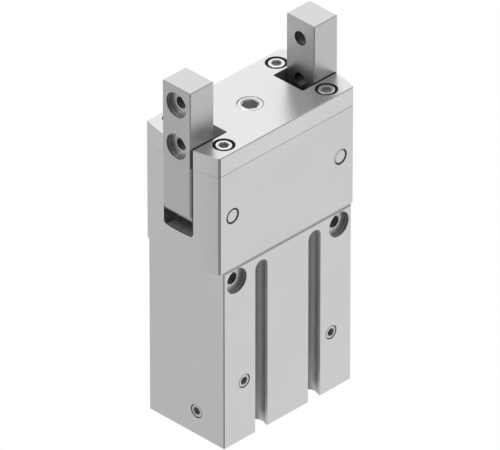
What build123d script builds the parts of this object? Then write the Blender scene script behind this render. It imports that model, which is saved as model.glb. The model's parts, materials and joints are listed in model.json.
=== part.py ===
"""Radial gripper: a pneumatic cylinder swings two jaws outward by a quarter turn each.

Millimetres, +Z up. The origin is the middle of the base. The two jaws lie on the X axis,
and the front face, with the sensor slots and the mounting holes, looks along -Y.
The jaws are shown closed, so the piston is at the bottom of its stroke.
"""
import os
from math import cos, radians, sin

from build123d import *

os.makedirs("parts", exist_ok=True)

# Housing, upper part: it holds the jaws
upper_length = 60.0  # between the corners of the curved ends
upper_height = 36.45
upper_depth = 32.5
end_bulge = 2.6  # how far a curved end stands out in its middle
corner_chamfer = 0.55
jaw_slot_width = 12.7
slot_floor_gap = 0.3  # between the slot's floor and an open jaw
slot_corner_radius = 1.0  # along both sides of the slot's floor

# Housing, lower part: it holds the cylinder
lower_height = 66.2
lower_depth = 33.55
end_step = 1.3  # how far the lower part stands back from the upper part's corners
lower_edge_chamfer = 0.3

# Cover
cover_thickness = 6.85
cover_slot_room = 5.4  # from a closed jaw's inner face to the end of its slot
cover_edge_chamfer = 0.25
seam_chamfer = 0.12  # on both edges of the seam below the cover
cover_screw_inset_x = 7.05  # from the corners of the curved ends
cover_screw_inset_y = 5.2  # from the front and the back
cover_counterbore_radius = 3.75
cover_counterbore_depth = 3.5
centre_hole_radius = 4.4
dowel_radius = 1.5
dowel_length = 8.0
dowel_x = 10.0
dowel_y = 11.3

# Jaws
jaw_stand = 0.3  # how far a closed jaw stands out of the curved end
jaw_thickness = 10.5
finger_height = 21.0  # above the cover
finger_width = 12.4
finger_chamfer = 0.3
jaw_side_gap = 0.1
jaw_heel_drop = 5.2  # from the pivot down to the heel
jaw_heel_radius = 4.6
jaw_root_chamfer = 0.6  # along the outer face and the heel, to clear the slot's corners
upper_hole_drop = 6.8  # from the jaw's top
hole_spacing = 15.4
swing_angle = 90.0

# Jaw pivots and cranks
pivot_inset = 5.8  # from the corners of the curved ends
pivot_drop = 16.8  # below the cover
pivot_radius = 2.5
pin_recess = 0.15
pin_chamfer = 0.35
pivot_bush_wall = 0.75
pivot_eye_radius = 5.4
pivot_web_radius = 4.1
crank_radius = 10.0
crank_arm_half_width = 4.2
crank_pin_radius = 2.0
roller_radius = 3.0
fork_gap = 5.4

# Crosshead on the piston rod
blade_thickness = 5.0
blade_height = 13.6
blade_tip_gap = 0.5
hub_half_length = 8.0
hub_side_gap = 0.15
pocket_clearance = 0.9

# Cylinder
bore_radius = 12.5
rod_radius = 5.0
rod_socket_depth = 2.4
seal_width = 2.2
guide_width = 2.0
land_width = 0.75
seal_depth = 2.2
guide_depth = 1.2
magnet_depth = 2.0
lower_stop_z = 10.2  # underside of the piston when the jaws are closed
buffer_stand = 1.0
buffer_sunk = 1.0
buffer_gap = 0.2
lower_buffer_radius = 7.3
upper_buffer_radius = 11.2
buffer_width = 2.0
rod_bush_radius = 6.2
rod_bush_length = 14.0
rod_bush_drop = 4.6  # below the floor of the crosshead's pocket
rod_seal_radius = 8.0
rod_seal_height = 4.5
seal_lip_wall = 1.0
seal_lip_gap = 0.5
seal_washer_thickness = 1.2

# End cap below the cylinder
cap_radius = 13.7
cap_seat_z = 6.6
cap_thickness = 3.9
cap_boss_radius = 9.0
cap_seal_section = 1.5
ring_thickness = 1.2
ring_groove_depth = 0.9
ring_width = 2.6
ring_gap_angle = 40.0
ring_lug_radius = 1.9
ring_lug_hole = 0.7

# Mounting holes, all with an M5 thread under a recess for a centring sleeve
thread_radius = 2.5
thread_depth = 8.0
recess_radius = 4.5
recess_depth = 2.1
mount_inset = 5.7  # from the lower part's ends
mount_drop = 5.0  # below the lower part's top
mount_drill_radius = 2.1  # core hole from the front thread to the back one
base_hole_radius = 2.0
base_hole_depth = 8.0
base_hole_inset_x = 5.7
base_hole_inset_y = 5.775

# Sensor slots
sensor_slot_x = 11.95
sensor_mouth = 5.5
sensor_groove_radius = 3.35
sensor_groove_depth = 2.95  # from the face to the groove's axis
sensor_entry_lift = 0.4  # how much shallower the round entry is than the groove
sensor_slot_drop = 5.0  # from the lower part's top to the round entry's middle

# Air channels
port_x = 19.6
port_z = 21.8
port_thread_depth = 7.0
plug_thread_depth = 5.5
end_plug_y = -4.4
lower_channel_z = 8.75
riser_x = 18.6
riser_y = -5.0
channel_radius = 1.2
port_channel_radius = 1.65
ball_radius = 1.5
ball_z = 2.6
end_plug_thread_depth = 4.6

# Screws
m3_radius = 1.5
m3_head_radius = 2.75
m3_head_height = 3.0
m3_key = 2.5
m3_length = 12.0
m5_head_radius = 4.25
m5_head_height = 5.0
m5_key = 4.0
m5_grip_in_rod = 8.0
rod_tap_runout = 2.0  # thread in the rod beyond the screw's tip
plug_screw_length = 4.0
plug_screw_key = 2.5
centre_plug_key = 5.0
centre_plug_length = 5.0
key_depth_share = 0.55  # depth of a hexagon socket as a share of its head
head_chamfer_share = 0.1  # chamfer of a screw head as a share of its height
plug_chamfer = 0.5  # chamfer of a headless screw

# Clearances
press_gap = 0.02  # between pressed or screwed pieces
running_gap = 0.05  # between a shaft and its bush
bore_gap = 0.08  # between the piston's rings and the bore
piston_gap = 0.3
hole_gap = 0.25  # around a screw that passes freely
sink_gap = 0.1  # how far a flush screw lies below its face
swing_play = 0.05
# With the jaw's angle in a fixed ratio to the stroke, the crank pin strays from the
# middle of its slot by up to this share of the crank's length
crank_stray_share = 0.03

# Heights that follow from the sizes above
seam_z = lower_height + upper_height  # where the cover lies on the housing
top_z = seam_z + cover_thickness
mount_z = lower_height - mount_drop
sensor_slot_top_z = lower_height - sensor_slot_drop
jaw_top_z = top_z + finger_height
upper_hole_z = jaw_top_z - upper_hole_drop
shoulder_z = seam_z - buffer_gap
pivot_z = seam_z - pivot_drop
jaw_bottom_z = pivot_z - jaw_heel_drop

# Places along X and Y that follow
lower_length = upper_length - 2 * end_step
front_y = -lower_depth / 2
upper_front_y = -upper_depth / 2
cover_screw_x = upper_length / 2 - cover_screw_inset_x
cover_screw_y = upper_depth / 2 - cover_screw_inset_y
mount_x = lower_length / 2 - mount_inset
base_hole_x = lower_length / 2 - base_hole_inset_x
base_hole_y = lower_depth / 2 - base_hole_inset_y
pivot_x = upper_length / 2 - pivot_inset
jaw_outer_x = upper_length / 2 + end_bulge + jaw_stand
jaw_inner_x = jaw_outer_x - jaw_thickness
cover_slot_end_x = jaw_inner_x - cover_slot_room
slot_floor_z = pivot_z - (jaw_outer_x - pivot_x) - slot_floor_gap
root_width = jaw_slot_width - 2 * jaw_side_gap

# The linkage, closed
crank_drop = crank_radius * sin(radians(swing_angle / 2))
stroke = 2 * crank_drop
crank_x = pivot_x - crank_radius * cos(radians(swing_angle / 2))
crank_z = pivot_z - crank_drop
crank_inner_x = pivot_x - crank_radius
linkage_play = crank_stray_share * crank_radius + swing_play
blade_slot_height = 2 * (roller_radius + linkage_play)
blade_tip_x = pivot_x - pivot_web_radius - blade_tip_gap
hub_bottom_z = crank_z - blade_height / 2
hub_top_z = crank_z + blade_height / 2
pocket_floor_z = hub_bottom_z - pocket_clearance - buffer_stand / 2
pocket_half_length = crank_x + crank_arm_half_width + pocket_clearance
rod_bush_top_z = pocket_floor_z - rod_bush_drop
rod_bush_z = rod_bush_top_z - rod_bush_length

# The cylinder from its lower stop up: a piston has five lands round its four grooves
piston_length = 5 * land_width + 2 * seal_width + 2 * guide_width
piston_top_z = lower_stop_z + piston_length
chamber_top_z = piston_top_z + stroke + buffer_gap + buffer_stand
upper_channel_z = chamber_top_z - channel_radius - buffer_gap
rod_bottom_z = piston_top_z - rod_socket_depth
rod_top_z = hub_bottom_z + rod_socket_depth


def rod_z(radius, low, high, x=0.0, y=0.0):
    """Upright cylinder between two heights."""
    return Pos(x, y, (low + high) / 2) * Cylinder(radius, high - low)


def rod_y(radius, low, high, x=0.0, z=0.0):
    """Cylinder along Y between two places."""
    return Pos(x, (low + high) / 2, z) * Rot(90, 0, 0) * Cylinder(radius, high - low)


def rod_x(radius, low, high, y=0.0, z=0.0):
    """Cylinder along X between two places."""
    return Pos((low + high) / 2, y, z) * Rot(0, 90, 0) * Cylinder(radius, high - low)


def block(x, y, z):
    """Box given by its three pairs of limits."""
    size = [pair[1] - pair[0] for pair in (x, y, z)]
    middle = [(pair[1] + pair[0]) / 2 for pair in (x, y, z)]
    return Pos(*middle) * Box(*size)


def tube_z(outer, inner, low, high):
    """Upright ring on the Z axis between two heights."""
    return rod_z(outer, low, high) - rod_z(inner, low, high)


def hexagon_z(key, low, high):
    """Upright hexagonal prism on the Z axis, key is its width across flats."""
    flats = RegularPolygon(key / 2, 6, major_radius=False)
    return Pos(0, 0, low) * extrude(flats, high - low)


def bulged_block(length, bulge, depth, low, high):
    """Block whose two ends are arcs that stand out by the bulge."""
    x, y = length / 2, depth / 2
    outline = [
        Line((-x, -y), (x, -y)),
        ThreePointArc((x, -y), (x + bulge, 0), (x, y)),
        Line((x, y), (-x, y)),
        ThreePointArc((-x, y), (-x - bulge, 0), (-x, -y)),
    ]
    solid = Pos(0, 0, low) * extrude(make_face(outline), high - low)
    return chamfer(solid.edges().filter_by(Axis.Z), corner_chamfer)


def front_and_back(shape):
    """The shape and its mirror image behind the middle plane."""
    return [shape, mirror(shape, about=Plane.XZ)]


def left_and_right(shape):
    """The shape and its mirror image on the other side."""
    return [shape, mirror(shape, about=Plane.YZ)]


def four_corners(shape):
    """The shape in all four quarters."""
    return [copy for half in left_and_right(shape) for copy in front_and_back(half)]


def lower_block():
    """Lower part: a straight block whose long top edges slope in to the upper part."""
    y, y_top = lower_depth / 2, upper_depth / 2
    slope_z = lower_height - abs(y - y_top)
    right_side = [(y, 0), (y, slope_z), (y_top, lower_height)]
    left_side = [(-width, height) for width, height in reversed(right_side)]
    section = Polyline(*right_side, *left_side, close=True)
    solid = extrude(Plane.YZ * make_face(section), lower_length / 2, both=True)
    return chamfer(solid.edges().filter_by(Axis.Z), lower_edge_chamfer)


def sensor_slot():
    """Front sensor slot at +X: a round groove behind a narrower mouth, open at the base."""
    axis_y = front_y + sensor_groove_depth
    floor_y = axis_y + sensor_groove_radius - sensor_entry_lift
    groove = rod_z(sensor_groove_radius, 0, sensor_slot_top_z, sensor_slot_x, axis_y)
    mouth_x = (sensor_slot_x - sensor_mouth / 2, sensor_slot_x + sensor_mouth / 2)
    mouth = block(mouth_x, (front_y, axis_y), (0, sensor_slot_top_z))
    entry = rod_y(sensor_mouth / 2, front_y, floor_y, sensor_slot_x, sensor_slot_top_z)
    return groove + mouth + entry


def mount_hole():
    """Front mounting hole at +X: sleeve recess, thread and the front half of the core hole."""
    floor_y = front_y + recess_depth
    recess = rod_y(recess_radius, front_y, floor_y, mount_x, mount_z)
    thread = rod_y(thread_radius, floor_y, floor_y + thread_depth, mount_x, mount_z)
    return recess + thread + rod_y(mount_drill_radius, floor_y, 0, mount_x, mount_z)


def pivot_hole():
    """Hole for the right pivot pin through both walls, with chamfered mouths."""
    hole = rod_y(pivot_radius + press_gap, upper_front_y, -upper_front_y, pivot_x, pivot_z)
    mouth = Pos(pivot_x, upper_front_y + pin_chamfer / 2, pivot_z) * Rot(90, 0, 0)
    mouth = mouth * Cone(pivot_radius, pivot_radius + pin_chamfer, pin_chamfer)
    return [hole] + front_and_back(mouth)


def cylinder_hollow():
    """Bore, end cap seat, ring groove, rod seal seat and rod bush seat, all on the Z axis."""
    ring_top_z = cap_seat_z - cap_thickness
    seal_top_z = chamber_top_z + seal_washer_thickness + rod_seal_height
    buffer_top_z = chamber_top_z + buffer_sunk
    return [
        rod_z(bore_radius, cap_seat_z, chamber_top_z),
        rod_z(cap_radius, 0, cap_seat_z),
        rod_z(cap_radius + ring_groove_depth, ring_top_z - ring_thickness, ring_top_z),
        rod_z(rod_seal_radius, chamber_top_z, seal_top_z),
        rod_z(rod_radius + piston_gap, seal_top_z, rod_bush_z),
        rod_z(rod_bush_radius, rod_bush_z, pocket_floor_z),
        tube_z(
            upper_buffer_radius,
            upper_buffer_radius - buffer_width,
            chamber_top_z,
            buffer_top_z,
        ),
    ]


def air_channels():
    """Ports, cross channels and risers that feed the two ends of the cylinder."""
    back_y = -front_y
    cuts = []
    for side, channel_z in ((-1, lower_channel_z), (1, upper_channel_z)):
        x = side * port_x
        end_x = side * lower_length / 2
        inner_x = end_x - side * end_plug_thread_depth
        reach_x = side * bore_radius / 2
        cuts += [
            rod_y(thread_radius, front_y, front_y + plug_thread_depth, x, port_z),
            rod_y(port_channel_radius, front_y, back_y, x, port_z),
            rod_y(thread_radius, back_y - port_thread_depth, back_y, x, port_z),
            rod_x(thread_radius, *sorted((end_x, inner_x)), end_plug_y, channel_z),
            rod_x(channel_radius, *sorted((end_x, reach_x)), end_plug_y, channel_z),
            rod_z(channel_radius, 0, max(port_z, channel_z), side * riser_x, riser_y),
            rod_z(ball_radius + press_gap, 0, ball_z + ball_radius, side * riser_x, riser_y),
        ]
    return cuts


def jaw_slot():
    """Slot for both jaws across the upper part, its floor rounded along both sides."""
    slot_y = (-jaw_slot_width / 2, jaw_slot_width / 2)
    slot = block((-upper_length, upper_length), slot_y, (slot_floor_z, seam_z))
    floor_edges = slot.edges().filter_by(Axis.X).sort_by(Axis.Z)[:2]
    pocket_x = (-pocket_half_length, pocket_half_length)
    return fillet(floor_edges, slot_corner_radius), block(pocket_x, slot_y, (pocket_floor_z, seam_z))


def make_housing():
    """One block for the cylinder below and the jaw slot above."""
    upper = bulged_block(upper_length, end_bulge, upper_depth, lower_height, seam_z)
    upper = chamfer(upper.faces().sort_by(Axis.Z)[-1].edges(), seam_chamfer)
    body = lower_block() + upper
    thread_low = seam_z - m3_length
    cuts = [*jaw_slot()]
    cuts += cylinder_hollow()
    cuts += four_corners(sensor_slot())
    cuts += four_corners(mount_hole())
    cuts += four_corners(rod_z(base_hole_radius, 0, base_hole_depth, base_hole_x, base_hole_y))
    cuts += four_corners(rod_z(m3_radius, thread_low, seam_z, cover_screw_x, cover_screw_y))
    cuts += [cut for part in pivot_hole() for cut in left_and_right(part)]
    cuts += [rod_z(dowel_radius + press_gap, seam_z - dowel_length / 2, seam_z, side * dowel_x,
                   side * dowel_y) for side in (-1, 1)]
    return body - cuts - air_channels()


def make_cover():
    """Cover plate, slotted from both ends for the jaws."""
    plate = bulged_block(upper_length, end_bulge, upper_depth, seam_z, top_z)
    plate = chamfer(plate.faces().sort_by(Axis.Z)[-1].edges(), cover_edge_chamfer)
    plate = chamfer(plate.faces().sort_by(Axis.Z)[0].edges(), seam_chamfer)
    slot_y = (-jaw_slot_width / 2, jaw_slot_width / 2)
    counterbore_z = top_z - cover_counterbore_depth
    cuts = left_and_right(block((cover_slot_end_x, upper_length), slot_y, (seam_z, top_z)))
    cuts += four_corners(rod_z(m3_radius + hole_gap, seam_z, top_z, cover_screw_x, cover_screw_y))
    cuts += four_corners(
        rod_z(cover_counterbore_radius, counterbore_z, top_z, cover_screw_x, cover_screw_y)
    )
    cuts += [rod_z(centre_hole_radius, seam_z, top_z)]
    cuts += [rod_z(dowel_radius + press_gap, seam_z, seam_z + dowel_length / 2, side * dowel_x,
                   side * dowel_y) for side in (-1, 1)]
    return plate - cuts


def cap_screw(radius, head_radius, head_height, key, length):
    """Socket cap screw on the Z axis, its head's underside at zero, its tip pointing down."""
    head = rod_z(head_radius, 0, head_height)
    head = chamfer(head.edges().sort_by(Axis.Z)[-1], head_height * head_chamfer_share)
    socket = hexagon_z(key, head_height * (1 - key_depth_share), head_height)
    return head + rod_z(radius, -length, 0) - socket


def set_screw(radius, length, key):
    """Headless screw with a hexagon socket, its outer face at zero, its tip pointing down."""
    body = rod_z(radius, -length, 0)
    body = chamfer(body.edges().filter_by(GeomType.CIRCLE), plug_chamfer)
    return body - hexagon_z(key, -length * key_depth_share, 0)


def make_cover_screws():
    """Four M3 cap screws that hold the cover."""
    screw = cap_screw(m3_radius - press_gap, m3_head_radius, m3_head_height, m3_key, m3_length)
    floor_z = top_z - cover_counterbore_depth
    return four_corners(Pos(cover_screw_x, cover_screw_y, floor_z) * screw)


def make_centre_plug():
    """Screw plug in the middle of the cover, over the crosshead's screw."""
    plug = set_screw(centre_hole_radius - press_gap, centre_plug_length, centre_plug_key)
    return Pos(0, 0, top_z - sink_gap) * plug


def make_dowels():
    """Two dowels that place the cover on the housing."""
    low, high = seam_z - dowel_length / 2, seam_z + dowel_length / 2
    return [
        rod_z(dowel_radius, low + sink_gap, high - sink_gap, side * dowel_x, side * dowel_y)
        for side in (-1, 1)
    ]


def make_pivot_pin():
    """Right pivot pin, pressed into both walls of the housing."""
    reach = -upper_front_y - pin_recess
    pin = rod_y(pivot_radius, -reach, reach, pivot_x, pivot_z)
    return chamfer(pin.edges().filter_by(GeomType.CIRCLE), pin_chamfer)


def make_plug_screws():
    """Two headless screws that close the front ends of the port channels."""
    screw = set_screw(thread_radius - press_gap, plug_screw_length, plug_screw_key)
    return left_and_right(Pos(port_x, front_y + sink_gap, port_z) * Rot(90, 0, 0) * screw)


def make_end_plugs():
    """Two headless screws that close the cross channels, one at each end face."""
    screw = set_screw(thread_radius - press_gap, plug_screw_length, plug_screw_key)
    reach = lower_length / 2 - sink_gap
    return [
        Pos(-reach, end_plug_y, lower_channel_z) * Rot(0, -90, 0) * screw,
        Pos(reach, end_plug_y, upper_channel_z) * Rot(0, 90, 0) * screw,
    ]


def make_channel_balls():
    """Two balls pressed into the lower ends of the risers."""
    return left_and_right(Pos(riser_x, riser_y, ball_z) * Sphere(ball_radius))


def make_end_cap():
    """Cap that closes the cylinder, with a seal groove and a boss for the buffer."""
    flange_low = cap_seat_z - cap_thickness
    flange_mid = cap_seat_z - cap_thickness / 2
    radius = cap_radius - press_gap
    boss_top = lower_stop_z - buffer_gap - buffer_stand
    cap = rod_z(radius, flange_low, cap_seat_z) + rod_z(cap_boss_radius, cap_seat_z, boss_top)
    half = cap_seal_section / 2 + press_gap
    floor_radius = cap_radius - cap_seal_section - 2 * press_gap
    groove = tube_z(cap_radius, floor_radius, flange_mid - half, flange_mid + half)
    inner = lower_buffer_radius - buffer_width
    seat = tube_z(lower_buffer_radius, inner, boss_top - buffer_sunk, boss_top)
    return cap - groove - seat


def make_cap_seal():
    """O-ring in the end cap's groove."""
    major = cap_radius - press_gap - cap_seal_section / 2
    return Pos(0, 0, cap_seat_z - cap_thickness / 2) * Torus(major, cap_seal_section / 2)


def make_retaining_ring():
    """Internal retaining ring under the end cap, with two pierced lugs at its gap."""
    top = cap_seat_z - cap_thickness
    low = top - ring_thickness + press_gap
    outer = cap_radius + ring_groove_depth - press_gap
    middle = outer - ring_width / 2
    ring = tube_z(outer, outer - ring_width, low, top)
    half_gap = radians(ring_gap_angle / 2)
    reach = 2 * outer
    wedge = Polyline(
        (0, 0),
        (-reach * sin(half_gap), reach * cos(half_gap)),
        (reach * sin(half_gap), reach * cos(half_gap)),
        close=True,
    )
    ring -= Pos(0, 0, low) * extrude(make_face(wedge), top - low)
    lug_distance = middle - ring_lug_radius / 2
    for side in (-1, 1):
        x, y = side * lug_distance * sin(half_gap), lug_distance * cos(half_gap)
        ring += rod_z(ring_lug_radius, low, top, x, y)
        ring -= rod_z(ring_lug_hole, low, top, x, y)
    return ring


def buffer_ring(radius, low):
    """Elastomer ring that stands out of its seat."""
    inner = radius - buffer_width + press_gap
    return tube_z(radius - press_gap, inner, low, low + buffer_sunk + buffer_stand)


def make_buffers():
    """The two rings that stop the piston, one on the end cap and one under the rod's wall."""
    lower = buffer_ring(lower_buffer_radius, lower_stop_z - buffer_gap - buffer_stand - buffer_sunk)
    upper = buffer_ring(upper_buffer_radius, chamber_top_z - buffer_stand)
    return [lower, upper]


def make_rod_seal():
    """Lip seal around the rod, with a sloped inner lip towards the cylinder."""
    low = chamber_top_z + seal_washer_thickness
    high = low + rod_seal_height
    inner = rod_radius + running_gap
    lip_height = rod_seal_height / 2
    hollow = Cone(rod_seal_radius - seal_lip_wall, inner + seal_lip_gap, lip_height)
    hollow = Pos(0, 0, low + lip_height / 2) * hollow
    return rod_z(rod_seal_radius - press_gap, low, high) - hollow - rod_z(inner, low, high)


def make_seal_washer():
    """Washer that keeps the rod seal in its seat."""
    top = chamber_top_z + seal_washer_thickness - press_gap
    return tube_z(rod_seal_radius - press_gap, rod_radius + piston_gap, chamber_top_z, top)


def make_rod_bush():
    """Plain bush that guides the rod."""
    outer, inner = rod_bush_radius - press_gap, rod_radius + running_gap
    return tube_z(outer, inner, rod_bush_z, rod_bush_top_z)


def piston_grooves():
    """Ring grooves from the bottom up: name, lower edge, width and depth."""
    widths = [
        ("seal", seal_width, seal_depth),
        ("guide", guide_width, guide_depth),
        ("magnet", guide_width, magnet_depth),
        ("seal", seal_width, seal_depth),
    ]
    low = lower_stop_z + land_width
    grooves = []
    for name, width, depth in widths:
        grooves.append((name, low, width, depth))
        low += width + land_width
    return grooves


def make_piston():
    """Piston with its ring grooves, a screw counterbore below and the rod's socket above."""
    radius = bore_radius - piston_gap
    head_z = lower_stop_z + m5_head_height + buffer_gap
    piston = rod_z(radius, lower_stop_z, piston_top_z)
    for _, low, width, depth in piston_grooves():
        piston -= tube_z(radius, radius - depth, low, low + width)
    return piston - [
        rod_z(m5_head_radius + hole_gap, lower_stop_z, head_z),
        rod_z(thread_radius + hole_gap / 2, head_z, rod_bottom_z),
        rod_z(rod_radius + press_gap, rod_bottom_z, piston_top_z),
    ]


def ring_in_groove(name, outer):
    """Rings that fill the piston's grooves of one name."""
    base = bore_radius - piston_gap
    return [
        tube_z(outer, base - depth + press_gap, low + press_gap, low + width - press_gap)
        for groove, low, width, depth in piston_grooves()
        if groove == name
    ]


def make_piston_screw():
    """M5 cap screw from below through the piston into the rod."""
    head_z = lower_stop_z + m5_head_height + buffer_gap
    length = rod_bottom_z - head_z + m5_grip_in_rod
    screw = cap_screw(thread_radius - press_gap, m5_head_radius, m5_head_height, m5_key, length)
    return Pos(0, 0, head_z) * Rot(180, 0, 0) * screw


def make_rod():
    """Piston rod, tapped at both ends."""
    tap_depth = m5_grip_in_rod + rod_tap_runout
    rod = rod_z(rod_radius, rod_bottom_z, rod_top_z)
    lower_tap = rod_z(thread_radius, rod_bottom_z, rod_bottom_z + tap_depth)
    upper_tap = rod_z(thread_radius, rod_top_z - tap_depth, rod_top_z)
    return rod - lower_tap - upper_tap


def make_crosshead():
    """Hub on the rod with a blade to each side, slotted from its tips for the crank rollers."""
    hub_y = jaw_slot_width / 2 - hub_side_gap
    blade_y = blade_thickness / 2
    slot_end_x = crank_inner_x - roller_radius - linkage_play
    slot_z = (crank_z - blade_slot_height / 2, crank_z + blade_slot_height / 2)
    height = (hub_bottom_z, hub_top_z)
    body = block((-blade_tip_x, blade_tip_x), (-blade_y, blade_y), height)
    body += block((-hub_half_length, hub_half_length), (-hub_y, hub_y), height)
    head_z = hub_top_z - m5_head_height - sink_gap
    cuts = left_and_right(block((slot_end_x, blade_tip_x), (-blade_y, blade_y), slot_z))
    cuts += [
        rod_z(rod_radius + press_gap, hub_bottom_z, rod_top_z),
        rod_z(thread_radius + hole_gap / 2, rod_top_z, head_z),
        rod_z(m5_head_radius + hole_gap, head_z, hub_top_z),
    ]
    return body - cuts


def make_crosshead_screw():
    """M5 cap screw from above through the crosshead into the rod."""
    head_z = hub_top_z - m5_head_height - sink_gap
    length = head_z - rod_top_z + m5_grip_in_rod
    screw = cap_screw(thread_radius - press_gap, m5_head_radius, m5_head_height, m5_key, length)
    return Pos(0, 0, head_z) * screw


def jaw_finger():
    """Upper part of the right jaw, above the housing, with chamfered edges."""
    y = finger_width / 2
    finger = block((jaw_inner_x, jaw_outer_x), (-y, y), (shoulder_z, jaw_top_z))
    top_edges = finger.faces().sort_by(Axis.Z)[-1].edges()
    return chamfer(finger.edges().filter_by(Axis.Z) + top_edges, finger_chamfer)


def jaw_root():
    """Guided part of the right jaw in the slot, with a rounded heel."""
    y = root_width / 2
    root = block((jaw_inner_x, jaw_outer_x), (-y, y), (jaw_bottom_z, shoulder_z))
    heel = root.edges().filter_by(Axis.Y).sort_by(Axis.Z)[:2].sort_by(Axis.X)[-1]
    root = fillet(heel, jaw_heel_radius)
    outer = root.edges().filter_by(Axis.Z).sort_by(Axis.X)[-2:]
    return chamfer(outer + root.edges().filter_by(GeomType.CIRCLE), jaw_root_chamfer)


def crank_arm():
    """Arm of the right jaw, from the pivot down and inward to the crank pin."""
    y = root_width / 2
    reach = (-crank_radius, 0)
    bar = block(reach, (-y, y), (-crank_arm_half_width, crank_arm_half_width))
    bar = Pos(pivot_x, 0, pivot_z) * Rot(0, -swing_angle / 2, 0) * bar
    eye = rod_y(pivot_eye_radius, -y, y, pivot_x, pivot_z)
    tip = rod_y(crank_arm_half_width, -y, y, crank_x, crank_z)
    return bar + eye + tip


def fork_cut():
    """Gap between the two cheeks of the arm, which leaves a round web at the pivot."""
    y = (-fork_gap / 2, fork_gap / 2)
    far = 2 * crank_radius
    side_z = (pivot_z - far, pivot_z + 2 * pivot_web_radius)
    under_x = (jaw_inner_x, pivot_x + pivot_radius)
    gap = block((pivot_x - far, jaw_inner_x), y, side_z)
    gap += block(under_x, y, (pivot_z - far, pivot_z))
    return gap - rod_y(pivot_web_radius, *y, pivot_x, pivot_z)


def jaw_holes():
    """Two finger mounting holes in the right jaw, recessed for centring sleeves."""
    floor_x = jaw_outer_x - recess_depth
    holes = []
    for z in (upper_hole_z, upper_hole_z - hole_spacing):
        holes.append(rod_x(thread_radius, jaw_inner_x, floor_x, 0, z))
        holes.append(rod_x(recess_radius, floor_x, jaw_outer_x, 0, z))
    return holes


def make_jaw():
    """Right jaw: finger, guided root and forked crank arm in one piece."""
    y = root_width / 2
    body = jaw_finger() + jaw_root() + crank_arm() - fork_cut()
    bush_radius = pivot_radius + running_gap + pivot_bush_wall
    return body - jaw_holes() - [
        rod_y(bush_radius + press_gap, -y, y, pivot_x, pivot_z),
        rod_y(crank_pin_radius + press_gap, -y, y, crank_x, crank_z),
    ]


def make_jaw_bush():
    """Bush in the right jaw's eye, which turns on the pivot pin."""
    y = root_width / 2
    inner = pivot_radius + running_gap
    ring = rod_y(inner + pivot_bush_wall, -y, y, pivot_x, pivot_z)
    return ring - rod_y(inner, -y, y, pivot_x, pivot_z)


def make_crank_pin():
    """Pin across the right jaw's fork."""
    y = root_width / 2 - sink_gap
    return rod_y(crank_pin_radius, -y, y, crank_x, crank_z)


def make_crank_roller():
    """Roller on the crank pin, in the blade's slot."""
    y = blade_thickness / 2 - sink_gap
    ring = rod_y(roller_radius, -y, y, crank_x, crank_z)
    return ring - rod_y(crank_pin_radius + press_gap, -y, y, crank_x, crank_z)


def write(name, shape):
    """Write one node, a solid or a group of solids, to its STEP file."""
    solids = shape if isinstance(shape, list) else [shape]
    solids = [solid for item in solids for solid in item.solids()]
    export_step(solids[0] if len(solids) == 1 else Compound(children=solids), f"parts/{name}.step")


def write_pair(name, shape):
    """Write the right-hand piece and its mirror image on the left."""
    write(f"{name}_right", shape)
    write(f"{name}_left", mirror(shape, about=Plane.YZ))


write("housing", make_housing())
write("cover_plate", make_cover())
write("cover_screws", make_cover_screws())
write("centre_plug", make_centre_plug())
write("cover_dowels", make_dowels())
write("front_plug_screws", make_plug_screws())
write("end_plug_screws", make_end_plugs())
write("channel_balls", make_channel_balls())
write("end_cap", make_end_cap())
write("end_cap_seal", make_cap_seal())
write("retaining_ring", make_retaining_ring())
write("buffer_rings", make_buffers())
write("rod_seal", make_rod_seal())
write("rod_seal_washer", make_seal_washer())
write("rod_bush", make_rod_bush())
write("piston", make_piston())
write("piston_seals", ring_in_groove("seal", bore_radius - bore_gap))
write("piston_guide_ring", ring_in_groove("guide", bore_radius - bore_gap))
write("piston_magnet", ring_in_groove("magnet", bore_radius - piston_gap - press_gap))
write("piston_screw", make_piston_screw())
write("piston_rod", make_rod())
write("crosshead", make_crosshead())
write("crosshead_screw", make_crosshead_screw())
write_pair("pivot_pin", make_pivot_pin())
write_pair("jaw", make_jaw())
write_pair("jaw_bush", make_jaw_bush())
write_pair("crank_pin", make_crank_pin())
write_pair("crank_roller", make_crank_roller())
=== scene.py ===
# %% [markdown]
# Radial gripper, dressed. The solid parts come in at their real size from the frame, and
# this file only adds what a solid model leaves out: the threads, the tool marks in the
# holes, the real shape of the screws, and the finish of every metal. All lengths are metres.

# %% Tools and frame
import json
from math import cos, pi, radians, sin, tau

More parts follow.
